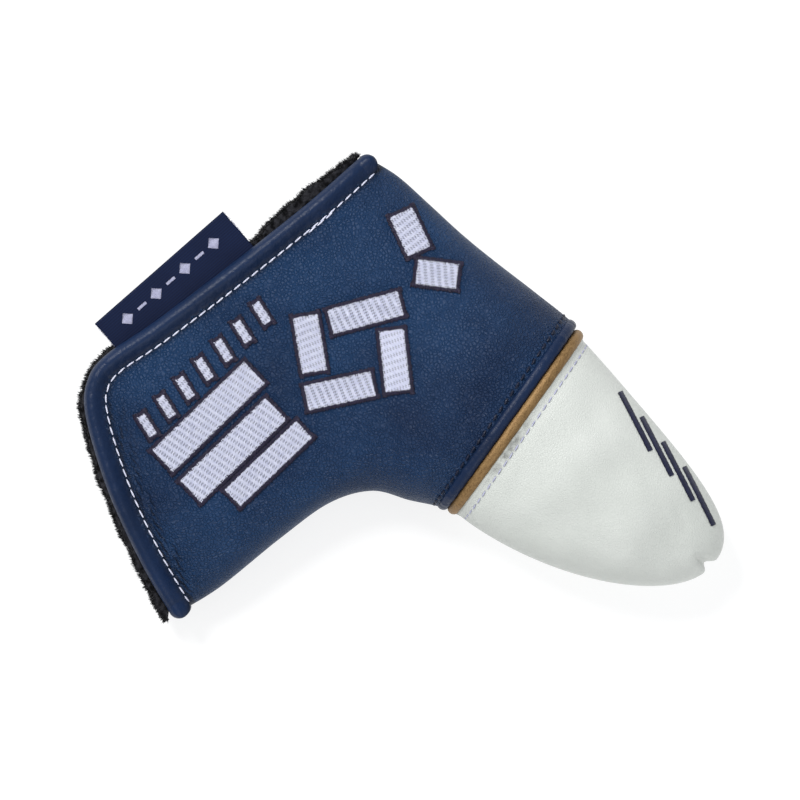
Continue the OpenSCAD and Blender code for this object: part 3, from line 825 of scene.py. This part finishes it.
def ring_tube(name, m, depth, wide, high, seed, waviness, corners=16, steps=320):
    """A slightly wavy tube all the way round the pouch."""
    centre = skin(m, np.linspace(-math.pi, math.pi, steps + 1)[:-1], depth)
    centre[:, 2] = np.maximum(centre[:, 2], high)
    along = unit(np.roll(centre, -1, 0) - np.roll(centre, 1, 0))
    out = out_of_pouch(m, centre, along, centre.mean(0))
    side = np.cross(out, along)
    turn = 2 * math.pi * np.arange(corners) / corners
    run = np.arange(steps) / steps * 2 * math.pi
    r = np.random.default_rng(seed)
    wave = sum(np.sin(run * n + r.uniform(0, 6.3)) for n in (17, 29, 41, 58)) * waviness
    verts = rings(centre, side, out, wide + wave, high + wave, turn)
    verts[:, 2] = np.maximum(verts[:, 2], 0.02)
    return build(name, verts, [grid_faces(steps + 1, corners, closed=True) % (steps * corners)])


hem_roll = ring_tube("hem_roll_leather", HEM_ROLL + 0.02, 0.75, 1.75, 1.35, 5, 0.03)
place_piece(hem_roll, "navy_binding", ["hem_roll"])
piping = ring_tube("gold_piping_leather", PIPING, 1.3, 1.9, 1.9, 6, 0.015)
place_piece(piping, "gold_leather", ["gold_piping", "piping_cord"])


# ---- Seams ----
def run_stitches(name, path, up, pitch, share, wide, high, first=0.0, last=None):
    """A row of stitches along a path of points, between two lengths along it."""
    run = run_along(path)
    starts = np.arange(first, (last or run[-1]) - pitch * share, pitch)
    at = starts[:, None] + pitch * share * np.linspace(0, 1, 6)[None]
    centres = np.stack([np.interp(at, run, path[:, i]) for i in range(3)], -1)
    above = unit(np.stack([np.interp(at, run, up[:, i]) for i in range(3)], -1))
    along = unit(centres[:, -1:] - centres[:, :1])
    side = unit(np.cross(above, np.broadcast_to(along, centres.shape)))
    slant = np.linspace(-0.09, 0.09, 6)[None, :, None]
    round_off = np.sin(math.pi * np.linspace(0.1, 0.9, 6)) ** 0.6
    centres = centres + side * slant + above * (high * (1.1 * round_off - 0.6))[None, :, None]
    size = np.broadcast_to(round_off, centres.shape[:2])
    return build(name, *tubes(centres, side, above, wide * size, high * size, 8))


PITCH, STITCH_SHARE, THREAD_R, THREAD_LOW = 3.3, 0.78, 0.27, 0.24


def rim_path(side, inward):
    t = np.linspace(0.02, RIM_END - 0.02, 700)
    p = rim_point(t, -inward)
    return np.concatenate([p, surface(p, side)[:, None]], 1)


def rim_stitches(name, path, side, nodes, first=0.0, last=None):
    up = np.broadcast_to(np.array([0.0, 0.0, side]), path.shape)
    row = run_stitches(name, path, up, PITCH, STITCH_SHARE, THREAD_R, THREAD_LOW, first, last)
    place_piece(row, "white_thread", nodes, bends=side > 0)


front_seam, rear_seam = rim_path(1, SEAM_IN), rim_path(-1, SEAM_IN)
rear_seam[:, 2] = np.maximum(rear_seam[:, 2], 0.4)
rim_stitches("front_rim_stitches", front_seam, 1, ["flap_stitching", "mouth_stitching"])
# The seam was sewn back over itself for a few stitches near the sole edge
rim_stitches("back_tack", front_seam + [-0.4, 0.1, 0.15], 1, [], 18, 30)
rim_stitches("rear_rim_stitches", rear_seam, -1, ["mouth_stitching"])


def ring_stitches(name, m, paint, node, drop, wide):
    """Two rows of stitches round the pouch, on the front and on the rear."""
    for label, low, high in (("front", 0.12, math.pi - 0.12), ("rear", -math.pi + 0.12, -0.12)):
        turn = np.linspace(low, high, 300)
        path = skin(m, turn, -0.05)
        path[:, 2] += drop * np.sign(low + high) * fade(swell(across(turn)), 0, 0.5)
        path[:, 2] = np.maximum(path[:, 2], 0.35)
        out = out_of_pouch(m, path, np.gradient(path, axis=0), [*path[:, :2].mean(0), 17])
        place_piece(run_stitches(f"{name}_{label}", path, out, 2.9, 0.72, wide, 0.8 * wide), paint, [node])


ring_stitches("hem_stitches", HEM_STITCHES, "navy_thread", "hem_stitching", -0.3, 0.4)
ring_stitches("toe_stitches", TOE_STITCHES, "lilac_thread", "toe_stitching", -0.22, 0.22)


# ---- Binding ----
END_RUN = 10
# Outline of the binding: distance from the rim's outer edge, and height over the leather
BINDING_OUTLINE = np.array([
    [-6.5, -0.9], [-6.3, -0.7], [-5.9, -0.45], [-5.2, -0.05], [-4.3, 0.75], [-3.3, 1.5], [-2.3, 1.7],
    [-1.2, 1.25], [-0.4, 0.2], [0, -0.9], [-0.15, -2.1], [-0.8, -3.1], [-2.0, -3.7], [-4.0, -3.9],
    [-6.0, -3.9], [-6.4, -2.2],
])


def binding(name, side, steps=720):
    """The rolled strip round one side's rim, puckered at each stitch and rounded off at its ends, with
    painted shade in the valley beside its stitches.
    """
    t = np.linspace(-0.3, RIM_END + 0.3, steps)
    held = np.clip(t, 0, RIM_END)
    edge_out = rim_out(held)
    # Past the rim's ends the strip goes straight on
    edge = curve(RIM, held) + square(edge_out) * (t - held)[:, None] * END_RUN
    closed_outline = np.vstack([BINDING_OUTLINE, BINDING_OUTLINE[:1]])
    outline = curve(closed_outline, np.linspace(0, len(BINDING_OUTLINE), 41)[:-1])
    run = run_along(edge)
    level_t = np.clip(t, 0.15, RIM_END - 0.15)
    seam_z = surface(rim_point(level_t, -SEAM_IN), side) + 0.5 * side
    ridge_z = height(rim_point(level_t, -BINDING_W / 2), 0.5, side)[0]
    ends = np.minimum(run, run[-1] - run)
    scale = np.sqrt(1 - (1 - np.clip(ends / 3.0, 0.02, 1)) ** 2)
    shift, rise = outline[:, 0][None], outline[:, 1][None]
    pucker = 0.5 + 0.5 * np.cos(2 * math.pi * (run / PITCH - STITCH_SHARE / 2))[:, None]
    near_seam = bell(shift + 5.2, 1.2) * (rise > -1)
    ruffle = (0.08 * np.sin(run * 0.7 + 2 * np.sin(run * 0.13)) + 0.03 * np.sin(run * 1.7 + side))[:, None]
    over = fade(rise, -0.5, 0.8)
    up = rise * scale[:, None] + 0.16 * (pucker - 0.5) * near_seam + ruffle * over
    out = -BINDING_W / 2 + (shift + BINDING_W / 2) * scale[:, None] + 0.1 * ruffle * (1 - over)
    base = mix(seam_z[:, None], ridge_z[:, None] + 0.5 * side, fade(out, -6.6, -3.4))
    points = edge[:, None] + out[..., None] * edge_out[:, None]
    z = np.maximum(base + side * up, 0.03)
    verts = np.concatenate([points, z[..., None]], -1).reshape(-1, 3)
    obj = build(name, verts, [f if side < 0 else f[:, ::-1] for f in bar_faces(steps, len(outline))])
    # Painted shade in the valley beside the stitches, on the strip's upper side
    mark_painted_shade(obj, np.broadcast_to(0.7 * (1 - fade(shift, -6.3, -4.4)) * (rise > -1), out.shape))
    return obj


place_piece(binding("front_binding", 1), "navy_binding", ["flap_binding", "mouth_binding"], bends=True)
place_piece(binding("rear_binding", -1), "navy_binding", ["mouth_binding"])


# ---- Plush lining ----
def mix_grid(grid, i, j):
    """Points of a grid at fractional rows and columns."""
    a, b = np.floor(i).astype(int), np.floor(j).astype(int)
    f, g = (i - a)[:, None], (j - b)[:, None]
    return mix(mix(grid[a, b], grid[a, b + 1], g), mix(grid[a + 1, b], grid[a + 1, b + 1], g), f)


# How far the plush stands out past the rim, at shares of the way from the sole edge to the top edge
PLUSH_REACH = np.array([
    [0, 3.0], [0.05, 3.8], [0.09, 3.9], [0.14, 3.5], [0.2, 1.9], [0.35, 2.4], [0.5, 1.0], [0.57, 0.5],
    [0.63, 1.3], [0.8, 1.2], [0.9, 1.6], [0.96, 3.1], [1, 3.6],
])
# and how far it is moved as well in the corners at the sole edge and at the top edge
PLUSH_CORNERS = np.array([[-2.6, -3.7], [-6.6, 1.9]])
PILE_COUNT, EDGE_COUNT = 11000, 5200


def lining(name, side, nodes, seed):
    """A plush layer that stands out past the binding."""
    turn = np.linspace(math.pi, 0, 110) * side
    v = across(turn)
    reach = np.interp(v, *PLUSH_REACH.T) + 0.3 * np.sin(turn * 23) + 0.25 * np.sin(turn * 41 + 1)
    q = np.linspace(1, 0, 40)[:-1]
    m = np.concatenate([np.linspace(0, TOE, 60), TOE + 0.97 * np.linspace(0.03, 1, 24)])

    def layer(depth):
        rows = flap(q[:, None], turn[None], depth, 0)
        edge = flap(np.ones(1)[:, None], turn[None], depth, 0)[0]
        within = flap(np.full((1, 1), 0.85), turn[None], depth, 0)[0]
        out = unit(edge[:, :2] - within[:, :2])
        shift = out * reach[:, None] + PLUSH_CORNERS[0] * fade(1 - v, 0.88, 1)[:, None]
        shift = shift + PLUSH_CORNERS[1] * fade(v, 0.88, 1)[:, None]
        rows[..., :2] += shift * (q[:, None, None] ** 4)
        return np.concatenate([rows, skin(m[:, None], turn[None], depth)])

    top, base = layer(PLUSH_TOP), layer(PLUSH_BASE)
    lumps = ripple(base[..., :2], 5, seed) + ripple(base[..., :2], 2.6, seed + 1)
    base[..., 2] += side * 0.3 * lumps * fade(np.abs(np.sin(turn)), 0, 0.4)
    obj = slab(name, top, base)
    place_piece(obj, "black_plush", nodes, bends=side > 0)
    plush_tufts(name, top, base, side, np.random.default_rng(seed))


def plush_tufts(name, top, base, side, r):
    """Tufts on the pile inside the mouth, and along the edge, where they splay out past the binding."""
    rows, columns = 62, base.shape[1]
    i, j = r.uniform(0, rows, PILE_COUNT), r.uniform(2, columns - 3, PILE_COUNT)
    points = mix_grid(base, i, j)
    lean = [r.normal(0, spread, PILE_COUNT) for spread in (0.45, 0.45, 0.15)]
    down = np.stack(lean, -1) - [0, 0, side]
    share = r.uniform(0, 1, EDGE_COUNT)
    along = r.uniform(1, columns - 2, EDGE_COUNT)
    spots = mix(mix_grid(top, 0 * along, along), mix_grid(base, 0 * along, along), share[:, None])
    inner = mix_grid(top, 0 * along + 3, along)
    outward = unit(np.append(spots[:, :2] - inner[:, :2], np.zeros((EDGE_COUNT, 1)), 1))
    splay = outward + r.normal(0, 0.35, (EDGE_COUNT, 3)) + [0, 0, 0.25 * side]
    length = np.concatenate([r.uniform(0.5, 1.1, PILE_COUNT), r.uniform(0.5, 2.0, EDGE_COUNT)])
    roots, ways = np.concatenate([points, spots]), unit(np.concatenate([down, splay]))
    verts, faces = tuft_mesh(roots, ways, length, 0.26)
    verts[:, 2] = np.maximum(verts[:, 2], 0.05)
    place_piece(build(f"{name}_tufts", verts, faces), "black_plush", [], bends=side > 0)


lining("front_plush", 1, ["front_lining", "flap_lining"], 31)
lining("rear_plush", -1, ["rear_lining"], 47)


# ---- Embroidery ----
ROW, FILL_STITCH, SATIN_STEP, STRIPE_STEP, PAD_STEP = 0.36, 2.4, 0.29, 0.27, 1.2


def bar_axes(bar):
    """Start of a bar, the directions along and across it, its length and its width."""
    a, b, w = bar
    e = unit(b - a)
    return a, e, square(e), np.linalg.norm(b - a), w


def fill_ends(bar, r):
    """Ends of a bar's fill stitches: rows at 45 degrees to it, broken into short stitches like bricks."""
    a, e, n, length, w = bar_axes(bar)
    starts, ends = [], []
    slant = math.sqrt(0.5)
    for i, offset in enumerate(np.arange(-w * slant / 2, (length + w / 2) * slant, ROW)):
        # The row is the line u - s = offset / slant, where u is along the bar and s across it
        low, high = max(-w / 2, -offset / slant), min(w / 2, length - offset / slant)
        if high - low < 0.3:
            continue
        s0, s1 = low / slant, high / slant
        cuts = np.arange(math.floor(s0 / FILL_STITCH) - 1, s1 / FILL_STITCH + 1) + (i // 2 % 2) / 2
        cuts = cuts[(cuts * FILL_STITCH > s0 + 0.35) & (cuts * FILL_STITCH < s1 - 0.35)] * FILL_STITCH
        cuts = np.concatenate([[s0 - r.uniform(0, 0.45)], cuts, [s1 + r.uniform(0, 0.45)]])
        across_bar = cuts * slant
        points = a + e * (across_bar + offset / slant)[:, None] + n * across_bar[:, None]
        starts.append(points[:-1])
        ends.append(points[1:])
    return np.concatenate(starts), np.concatenate(ends)


def satin_ends(bar, r):
    """Ends of the border's satin stitches, square to the bar's edge all the way round."""
    a, e, n, length, w = bar_axes(bar)
    centre = a + e * length / 2
    starts, ends = [], []
    for axis, normal, half, far in ((e, n, length / 2, w / 2), (n, e, w / 2, length / 2)):
        reach = half + (BORDER_W if axis is e else 0)
        for side in (-1, 1):
            along = np.arange(-reach, reach, SATIN_STEP)
            inner = far - 0.3 + r.uniform(-0.25, 0.12, len(along))
            outer = far + BORDER_W - 0.2 + r.uniform(-0.2, 0.2, len(along))
            lean = r.uniform(-0.12, 0.12, len(along))
            starts.append(centre + axis * along[:, None] + side * normal * inner[:, None])
            ends.append(centre + axis * (along + lean)[:, None] + side * normal * outer[:, None])
    return np.concatenate(starts), np.concatenate(ends)


def front_height(p):
    return surface(p, 1)


TOE_TREE = BVHTree.FromPolygons([v.co for v in toe.data.vertices], [f.vertices for f in toe.data.polygons])


def toe_height(p):
    """Height of the finished toe over points of the plan."""
    hits = [TOE_TREE.ray_cast((x * MM, y * MM, 0.1), (0, 0, -1))[0] for x, y in p.reshape(-1, 2)]
    return np.array([h.z for h in hits]).reshape(p.shape[:-1]) / MM


def backing(name, bars, height_at, grow, low, high, paint, nodes, bends):
    """Low pads under the threads, so that no leather shows between them."""
    all_verts, all_faces, count = [], [], 0
    for bar in bars:
        a, e, n, length, w = bar_axes(bar)
        u = np.linspace(-grow, length + grow, max(4, int(length / PAD_STEP)))
        s = np.linspace(-w / 2 - grow, w / 2 + grow, max(4, int(w / PAD_STEP)))
        p = a + e * u[:, None, None] + n * s[None, :, None]
        z = height_at(p)[..., None]
        outer, inner = np.concatenate([p, z + high], -1), np.concatenate([p, z - low], -1)
        part = slab("part", outer, inner)
        verts = np.array([v.co for v in part.data.vertices]) / MM
        faces = np.array([f.vertices[:] for f in part.data.polygons])
        bpy.data.objects.remove(part)
        all_verts.append(verts)
        all_faces.append(faces + count)
        count += len(verts)
    place_piece(build(name, np.concatenate(all_verts), [np.concatenate(all_faces)]), paint, nodes, bends)


def sewn(name, bars, height_at, ends_of, seed, lift, wide, high, paint, nodes, bends):
    """Threads over bars, whose ends are worked out bar by bar."""
    r = np.random.default_rng(seed)
    pairs = [ends_of(bar, r) for bar in bars]
    a, b = (np.concatenate([pair[i] for pair in pairs]) for i in (0, 1))
    place_piece(stitches(name, a, b, lambda p: height_at(p) + lift, wide, high), paint, nodes, bends)


white_fill = "white_thread", ["body_embroidery", "flap_embroidery"], True
plum_border = "plum_thread", ["body_embroidery_border", "flap_embroidery_border"], True
backing("border_backing", BARS, front_height, BORDER_W - 0.35, 0.6, 0.1, *plum_border)
backing("fill_backing", BARS, front_height, -0.05, 0.5, 0.24, *white_fill)
sewn("border_threads", BARS, front_height, satin_ends, 11, 0.2, 0.2, 0.26, *plum_border)
sewn("fill_threads", BARS, front_height, fill_ends, 12, 0.3, 0.185, 0.17, *white_fill)


def stripe_ends(bar, r):
    """Satin stitches across a stripe."""
    a, e, n, length, w = bar_axes(bar)
    along = np.arange(0, length, STRIPE_STEP)[:, None]
    edge = w / 2 * np.ones_like(along) + r.uniform(-0.06, 0.06, along.shape)
    return a + e * along - n * edge, a + e * (along + 0.1) + n * edge


stripe = "navy_print", ["toe_stripes"], False
sewn("toe_stripe_threads", STRIPES, toe_height, stripe_ends, 13, 0.05, 0.19, 0.24, *stripe)
backing("toe_stripe_backing", STRIPES, toe_height, -0.1, 0.6, 0.08, *stripe)


# ---- Label ----
LABEL_CORNER, LABEL_TILT = np.array([84.3, -36.4, 18.75]), math.radians(0.85)
LABEL_W, LABEL_D, RIBBON_GAP, RIBBON_T = 51, 17.5, 0.84, 0.3


def on_label(local):
    """Frame coordinates of points given along the label's outer edge, in under the binding, and up."""
    x, y, z = local[..., 0], local[..., 1], local[..., 2]
    c, s = math.cos(LABEL_TILT), math.sin(LABEL_TILT)
    x, z = x * c + z * s, z * c - x * s
    c, s = math.cos(LABEL_TURN), math.sin(LABEL_TURN)
    return LABEL_CORNER + np.stack([x * c - y * s, x * s + y * c, z], -1)


def label_wave(x, y):
    return 0.1 * np.sin(x / 5.5) * fade(LABEL_D - y, 4, 14)


def label():
    """A ribbon folded double along its outer edge, its cut ends sewn in under the binding."""
    r = np.random.default_rng(71)
    bend = RIBBON_GAP / 2
    start_y = bend + 0.18
    straight = np.linspace(LABEL_D, start_y, 34)
    turn = np.linspace(math.pi / 2, 1.5 * math.pi, 13)[1:-1]
    y = np.concatenate([straight, start_y + bend * np.cos(turn), straight[::-1]])
    z = np.concatenate([0 * straight + bend, bend * np.sin(turn), 0 * straight - bend])
    out_y = np.concatenate([0 * straight, np.cos(turn), 0 * straight])
    out_z = np.concatenate([0 * straight + 1, np.sin(turn), 0 * straight - 1])
    x = np.linspace(0, LABEL_W, 120)
    fray = np.zeros((len(y), len(x)))
    fray[:, 0], fray[:, -1] = r.uniform(-0.12, 0.12, len(y)), r.uniform(-0.12, 0.12, len(y))
    wave = label_wave(x[None], y[:, None])

    def face(offset):
        in_y, in_z = (y + offset * out_y)[:, None], (z + offset * out_z)[:, None]
        return on_label(np.stack(np.broadcast_arrays(x[None] + fray, in_y, in_z + wave), -1))

    ribbon = slab("folded_label", face(RIBBON_T / 2), face(-RIBBON_T / 2))
    dress(ribbon, "woven_navy", ["label_base", "woven_label"])
    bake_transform(ribbon)
    label_fibres(r, bend)


def label_fibres(r, bend):
    """Loose fibres along the label's two cut sides."""
    count = 170
    side = r.integers(0, 2, count)
    y, z = r.uniform(0.5, 9, count), np.where(r.uniform(size=count) > 0.5, bend, -bend)
    spots = np.stack([side * LABEL_W, y, z], -1)
    away = np.stack([side * 2 - 1, r.normal(0, 0.5, count), r.normal(0, 0.25, count)], -1)
    tips = on_label(spots + away) - on_label(spots)
    fibres = build("label_fibres", *tuft_mesh(on_label(spots), unit(tips), r.uniform(0.25, 0.6, count), 0.07))
    place_piece(fibres, "lilac_thread", [], body="label_tab")


def label_pattern():
    """A row of woven lozenges and dashes, each made of short threads side by side."""
    count, spacing, top = 7, 0.25, (RIBBON_GAP + RIBBON_T) / 2 + 0.02
    margin, line_y = 5.5, 5.4
    step = (LABEL_W - 2 * margin) / count
    rows = []
    for i in range(count):
        half = 1.6 if i % 2 else 2.05
        for x in np.arange(-half, half + 0.01, spacing):
            reach = 0.45 if i % 2 else 2.15 - abs(x)
            rows.append([margin + (i + 0.5) * step + x, line_y - reach, line_y + reach])
    rows = np.array(rows)
    s = np.linspace(0, 1, 5)
    y = rows[:, 1:2] + (rows[:, 2:] - rows[:, 1:2]) * s
    x = np.broadcast_to(rows[:, :1], y.shape)
    z = top + 0.07 * np.sin(math.pi * s) + label_wave(x, y)
    centres = on_label(np.stack([x, y, z], -1))
    side = np.broadcast_to(on_label(np.array([1.0, 0, 0])) - LABEL_CORNER, centres.shape)
    up = np.broadcast_to(on_label(np.array([0, 0, 1.0])) - LABEL_CORNER, centres.shape)
    size = np.broadcast_to(np.sin(math.pi * mix(0.15, 0.85, s)) ** 0.5, y.shape)
    obj = build("label_pattern_threads", *tubes(centres, side, up, 0.13 * size, 0.1 * size, 6))
    place_piece(obj, "lilac_thread", ["label_pattern"], body="label_tab")


label()
label_pattern()


# ---- Hook-and-loop closure ----
# Where the strips lie: angles over the mouth, in degrees, and shares of the way from the fold to the rim
TAPE_TURN, TAPE_REACH, TAPE_TUFTS = (101, 55), (0.86, 0.62), 2600


def tape(name, side, node, body, hook, seed):
    """One half of the closure: a woven strip with stiff hooks or soft loops on its face."""
    r = np.random.default_rng(seed)
    turn = np.radians(np.linspace(*TAPE_TURN, 60)) * side
    q = np.linspace(*TAPE_REACH, 26)[:, None]
    top, base = flap(q, turn[None], STRIP_TOP, 0), flap(q, turn[None], STRIP_BASE - 0.4, 0)
    place_piece(slab(f"{name}_strip", top, base), "closure_tape", [node], body=body)
    n = TAPE_TUFTS
    points = mix_grid(base, r.uniform(0, 24.9, n), r.uniform(0.5, 58, n))
    lean, shortest, longest, radius = (0.25, 0.35, 0.45, 0.12) if hook else (0.9, 0.3, 0.6, 0.08)
    ways = np.stack([r.normal(0, lean, n), r.normal(0, lean, n), np.full(n, -float(side))], -1)
    pile = build(f"{name}_pile", *tuft_mesh(points, unit(ways), r.uniform(shortest, longest, n), radius))
    place_piece(pile, "closure_tape", [], body=body)


tape("loop", 1, "loop_strip", "front_flap", False, 83)
tape("hook", -1, "hook_strip", "cover", True, 84)


# ---- Stage ----
def floor():
    bpy.ops.mesh.primitive_plane_add(size=4, location=(0, 0, -0.0002))
    plane = bpy.context.object
    plane.name = "floor"
    m = Paint("floor_paint", Roughness=0.9)
    m.use_colours(m.noise(3), (150, 150, 150), (154, 154, 154))
    m.shader.inputs["Emission Color"].default_value = (1, 1, 1, 1)
    m.shader.inputs["Emission Strength"].default_value = 0.74
    plane.data.materials.append(m.material)


def area_light(name, place, aim, size, energy):
    light = bpy.data.lights.new(name, "AREA")
    light.shape, light.size, light.energy = "DISK", size, energy
    lamp = add_object(name, light)
    lamp.location = place
    lamp.rotation_euler = (Vector(aim) - Vector(place)).to_track_quat("-Z", "Y").to_euler()


IMAGE_RIGHT, IMAGE_UP = np.array([-0.829, -0.559, 0]), np.array([0.559, -0.829, 0])
VIEW_CENTRE, VIEW_WIDTH, CAMERA_HEIGHT, SENSOR = np.array([8.58, -19.25]) * MM, 0.240, 1.5, 36


def camera():
    data = bpy.data.cameras.new("camera")
    data.sensor_width = SENSOR
    data.lens = SENSOR * CAMERA_HEIGHT / VIEW_WIDTH
    cam = add_object("camera", data)
    axes = np.stack([unit(IMAGE_RIGHT), unit(IMAGE_UP), np.array([0, 0, 1.0])], 1)
    world = Matrix(axes.tolist()).to_4x4()
    world.translation = (*VIEW_CENTRE, CAMERA_HEIGHT + 0.018)
    cam.matrix_world = world
    bpy.context.scene.camera = cam


floor()
camera()
area_light("key", (0.75, -0.3, 0.95), (0, -0.02, 0), 0.5, 13.5)
area_light("fill", (-0.7, 0.5, 0.8), (0, -0.02, 0), 0.9, 3.5)
world = bpy.data.worlds.new("studio")
world.use_nodes = True
background = world.node_tree.nodes["Background"]
background.inputs["Color"].default_value = (0.95, 0.97, 1, 1)
background.inputs["Strength"].default_value = 0.56
bpy.context.scene.world = world
bpy.context.scene.view_settings.view_transform = "Standard"
